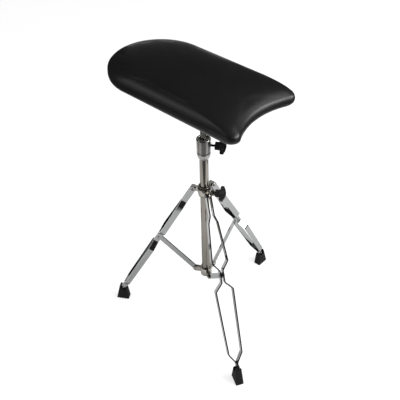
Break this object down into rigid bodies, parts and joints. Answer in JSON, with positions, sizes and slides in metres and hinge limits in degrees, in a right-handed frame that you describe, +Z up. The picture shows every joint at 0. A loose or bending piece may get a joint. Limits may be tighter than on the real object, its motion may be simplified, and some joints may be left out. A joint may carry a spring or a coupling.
{
  "type": "arm rest stand",
  "caption": "Padded black arm rest with one rounded and one hollow end, on a height-adjustable post over a folding braced tripod stand.",
  "frame": {"origin": "on the floor, under the axis of the upright tube", "axes": "+Z up along the tube; +X towards the hollow end of the pad, which is turned 1.7 degrees from it and droops 2.7 degrees at that end; +Y across the pad, over the rear leg"},
  "size_m": [0.4791, 0.4095, 0.7562],
  "materials": {
    "chrome": "bright chrome plate",
    "satin_chrome": "satin chrome plate",
    "leg_steel": "chrome plated flat bar",
    "rivet_steel": "plated",
    "zinc": "zinc plate",
    "black_plastic": "moulded, satin",
    "nylon": "nylon",
    "white_nylon": "nylon",
    "rubber": "moulded rubber",
    "brass": "turned",
    "vinyl": "black vinyl, soft sheen",
    "foam": "open-cell foam",
    "plywood": "plywood",
    "dust_cloth": "non-woven",
    "painted_plate": "black powder coat"
  },
  "bodies": {
    "stand": {"main_tube": "chrome", "height_sleeve": "satin_chrome", "sleeve_grub_screw": "zinc", "sleeve_bushing": "nylon", "height_pressure_shoe": "brass", "lower_bracket": "chrome", "bracket_roll_pin": "zinc", "bracket_plug": "nylon", "stay_hinge_rivets": "rivet_steel"},
    "height_bolt": {"height_bolt_screw": "zinc", "height_bolt_knob": "black_plastic"},
    "collar": {"tripod_collar": "chrome", "collar_liner": "nylon", "collar_pressure_shoe": "brass", "leg_hinge_rivets": "rivet_steel"},
    "collar_bolt": {"collar_bolt_screw": "zinc", "collar_bolt_knob": "black_plastic"},
    "post": {"inner_post": "chrome", "post_glide": "white_nylon", "post_stop_ring": "zinc"},
    "pad": {"swivel_hub": "painted_plate", "swivel_screw": "zinc", "pad_plate": "painted_plate", "plate_screws": "zinc", "pad_board": "plywood", "pad_foam": "foam", "pad_cover": "vinyl", "dust_cloth": "dust_cloth", "cloth_staples": "zinc"},
    "rear_leg": {"rear_leg_bar_a": "leg_steel", "rear_leg_bar_b": "leg_steel", "rear_mid_rivet": "rivet_steel", "rear_tip_rivet": "rivet_steel", "rear_foot": "rubber"},
    "rear_stay": {"rear_stay": "leg_steel", "rear_stay_shank": "rivet_steel"},
    "left_leg": {"left_leg_bar_a": "leg_steel", "left_leg_bar_b": "leg_steel", "left_mid_rivet": "rivet_steel", "left_tip_rivet": "rivet_steel", "left_foot": "rubber"},
    "left_stay": {"left_stay": "leg_steel", "left_stay_shank": "rivet_steel"},
    "front_leg": {"front_leg_bar_a": "leg_steel", "front_leg_bar_b": "leg_steel", "front_mid_rivet": "rivet_steel", "front_tip_rivet": "rivet_steel", "front_foot": "rubber"},
    "front_stay": {"front_stay": "leg_steel", "front_stay_shank": "rivet_steel"}
  },
  "joints": [
    {"name": "height_slide", "type": "slide", "parent": "stand", "child": "post", "axis": [0, 0, 1], "range_m": [-0.062, 0.25]},
    {"name": "pad_swivel", "type": "hinge", "parent": "post", "child": "pad", "pos_m": [0, 0, 0.6592], "axis": [0, 0, 1], "continuous": true},
    {"name": "height_bolt_turn", "type": "hinge", "parent": "stand", "child": "height_bolt", "pos_m": [0, 0, 0.572], "axis": [0.866, 0.5, 0], "range_deg": [0, 360]},
    {"name": "collar_slide", "type": "slide", "parent": "stand", "child": "collar", "axis": [0, 0, 1], "range_m": [0, 0.0629]},
    {"name": "collar_bolt_turn", "type": "hinge", "parent": "collar", "child": "collar_bolt", "pos_m": [0, 0, 0.4323], "axis": [0.866, 0.5, 0], "range_deg": [0, 360]},
    {"name": "rear_leg_fold", "type": "hinge", "parent": "collar", "child": "rear_leg", "pos_m": [0, 0.028, 0.4408], "axis": [-1, 0, 0], "range_deg": [0, 25.84]},
    {"name": "rear_stay_fold", "type": "hinge", "parent": "stand", "child": "rear_stay", "pos_m": [0, 0.028, 0.1627], "axis": [1, 0, 0], "range_deg": [0, 39.8]},
    {"name": "left_leg_fold", "type": "hinge", "parent": "collar", "child": "left_leg", "pos_m": [-0.02425, -0.014, 0.4408], "axis": [0.5, -0.866, 0], "range_deg": [0, 25.84]},
    {"name": "left_stay_fold", "type": "hinge", "parent": "stand", "child": "left_stay", "pos_m": [-0.02425, -0.014, 0.1627], "axis": [-0.5, 0.866, 0], "range_deg": [0, 39.8]},
    {"name": "front_leg_fold", "type": "hinge", "parent": "collar", "child": "front_leg", "pos_m": [0.02425, -0.014, 0.4408], "axis": [0.5, 0.866, 0], "range_deg": [0, 25.84]},
    {"name": "front_stay_fold", "type": "hinge", "parent": "stand", "child": "front_stay", "pos_m": [0.02425, -0.014, 0.1627], "axis": [-0.5, -0.866, 0], "range_deg": [0, 39.8]}
  ],
  "couplings": [
    {"joint": "rear_leg_fold", "follows": "collar_slide", "rad_per_m": 7.1683},
    {"joint": "rear_stay_fold", "follows": "collar_slide", "rad_per_m": 11.039},
    {"joint": "left_leg_fold", "follows": "collar_slide", "rad_per_m": 7.1683},
    {"joint": "left_stay_fold", "follows": "collar_slide", "rad_per_m": 11.039},
    {"joint": "front_leg_fold", "follows": "collar_slide", "rad_per_m": 7.1683},
    {"joint": "front_stay_fold", "follows": "collar_slide", "rad_per_m": 11.039}
  ]
}
